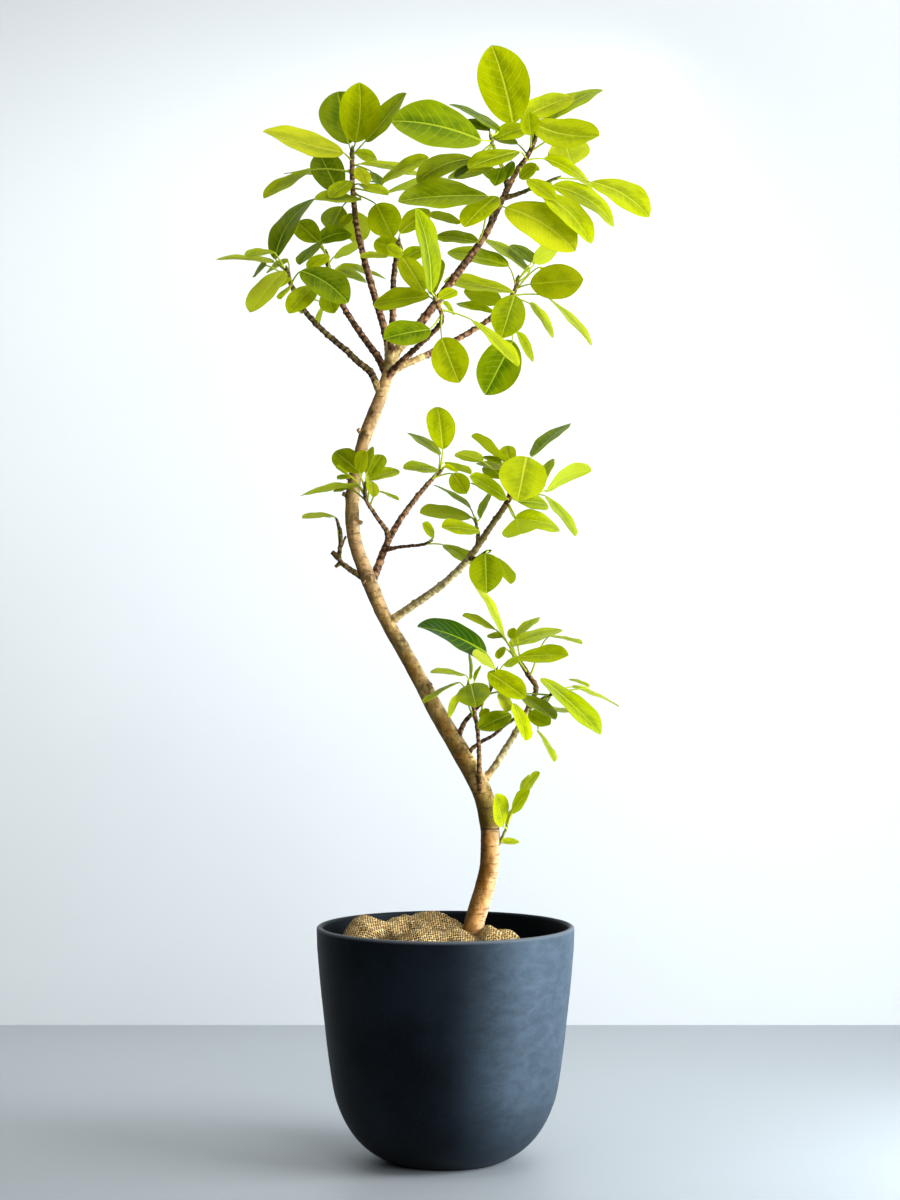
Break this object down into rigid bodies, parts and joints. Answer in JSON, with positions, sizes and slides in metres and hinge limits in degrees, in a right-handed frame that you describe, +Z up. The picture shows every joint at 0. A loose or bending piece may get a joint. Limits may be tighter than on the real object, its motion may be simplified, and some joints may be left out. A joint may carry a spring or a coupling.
{
  "type": "potted house plant",
  "caption": "Indoor fig tree with a bent bare trunk, woody side branches and loose shoots of broad oval variegated leaves, planted in a deep round U-shaped pot with burlap laid on the soil",
  "frame": {"origin": "on the floor, under the middle of the pot", "axes": "+Z up, +X to the right and +Y away from the viewer as seen in the picture"},
  "size_m": [0.6406, 0.3991, 1.6637],
  "materials": {
    "pot": "matte",
    "soil": "matte",
    "burlap": "matte",
    "trunk": "matte",
    "bark": "matte",
    "leaf": "satin"
  },
  "bodies": {
    "root": {"pot": "pot", "soil": "soil", "burlap": "burlap", "trunk": "trunk", "far_left_branch": "bark", "left_branch": "bark", "tall_left_branch": "bark", "middle_branch": "bark", "leader": "bark", "front_branch": "bark", "right_branch": "bark", "crossing_branch": "bark", "pale_limb": "bark", "low_right_branch": "bark", "far_left_shoot": "leaf", "left_shoot": "leaf", "tall_left_shoot": "leaf", "middle_shoot": "leaf", "leader_shoot": "leaf", "leader_left_shoot": "leaf", "leader_right_shoot": "leaf", "leader_low_shoot": "leaf", "front_shoot": "leaf", "right_shoot": "leaf", "crossing_shoot": "leaf", "inner_shoot": "leaf", "spur_shoot": "leaf", "outer_left_shoot": "leaf", "limb_shoot": "leaf", "limb_side_shoot": "leaf", "limb_low_shoot": "leaf", "low_right_shoot": "leaf", "low_right_side_shoot": "leaf", "upright_shoot": "leaf", "knee_shoot": "leaf", "low_twig_shoot": "leaf", "foot_shoot": "leaf"}
  },
  "joints": []
}
